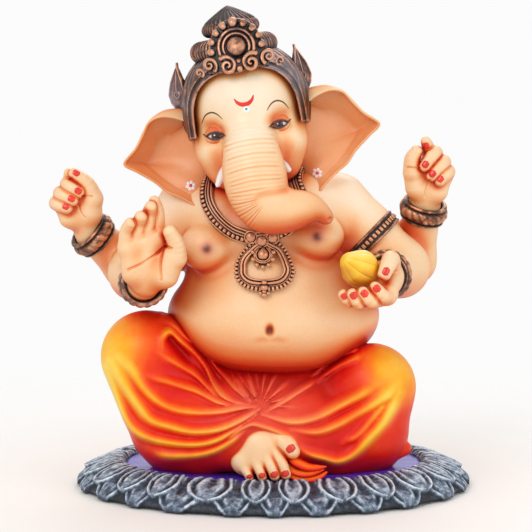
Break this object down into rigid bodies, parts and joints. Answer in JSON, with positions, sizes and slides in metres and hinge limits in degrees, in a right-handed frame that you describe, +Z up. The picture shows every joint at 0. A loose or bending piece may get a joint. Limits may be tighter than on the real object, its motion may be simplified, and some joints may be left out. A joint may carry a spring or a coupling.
{
  "type": "ganesha idol",
  "caption": "Seated four-armed elephant-headed devotional figure on an oval lotus plinth, cast in painted plaster parts pinned around a central rod.",
  "frame": {"origin": "on the floor under the middle of the plinth, below the point midway between its front and back", "axes": "+Z up, -Y the way the figure faces, +X to the figure's own left"},
  "size_m": [0.5422, 0.3832, 0.6151],
  "materials": {
    "skin_paint": "satin airbrushed peach paint over cast plaster, orange in the creases, sealed with a clear coat",
    "dhoti_paint": "satin red-orange paint over cast plaster, sprayed yellow on the knees and fold crests",
    "bronze_paint": "antique bronze paint over cast plaster, black-brown recesses and copper-pink dry-brushed crests",
    "plinth_paint": "dark slate paint over cast plaster, silver-blue dry-brushed edges",
    "seat_paint": "glossy violet-blue enamel over plaster",
    "tusk_paint": "gloss ivory-white paint over plaster",
    "modak_paint": "satin yellow paint over plaster",
    "board": "bare plywood",
    "felt": "black felt",
    "steel": "zinc-plated steel"
  },
  "bodies": {
    "root": {"lotus_plinth": "plinth_paint", "seat_disc": "seat_paint", "base_board": "board", "base_felt": "felt", "board_screw_1": "steel", "board_screw_2": "steel", "board_screw_3": "steel", "board_screw_4": "steel", "spine_rod": "steel", "spine_nut": "steel", "spine_washer": "steel", "dhoti": "dhoti_paint", "right_foot": "skin_paint", "sash_end": "dhoti_paint", "torso": "skin_paint", "head": "skin_paint", "trunk": "skin_paint", "right_ear": "skin_paint", "left_ear": "skin_paint", "right_tusk": "tusk_paint", "left_tusk": "tusk_paint", "cap": "bronze_paint", "diadem": "bronze_paint", "lower_hair_coil": "bronze_paint", "upper_hair_coil": "bronze_paint", "topknot": "bronze_paint", "right_ear_finial": "bronze_paint", "left_ear_finial": "bronze_paint", "necklace": "bronze_paint", "pendant_ring": "bronze_paint", "pendant_drop": "bronze_paint", "right_front_arm": "skin_paint", "right_front_hand": "skin_paint", "right_front_bangle": "bronze_paint", "right_front_shoulder_pin": "steel", "right_front_wrist_pin": "steel", "left_front_arm": "skin_paint", "left_front_hand": "skin_paint", "left_front_bangle": "bronze_paint", "left_front_shoulder_pin": "steel", "left_front_wrist_pin": "steel", "right_rear_arm": "skin_paint", "right_rear_hand": "skin_paint", "right_rear_bangle": "bronze_paint", "right_rear_shoulder_pin": "steel", "right_rear_wrist_pin": "steel", "left_rear_arm": "skin_paint", "left_rear_hand": "skin_paint", "left_rear_bangle": "bronze_paint", "left_rear_shoulder_pin": "steel", "left_rear_wrist_pin": "steel", "right_armlet": "bronze_paint", "left_armlet": "bronze_paint", "modak": "modak_paint"}
  },
  "joints": []
}
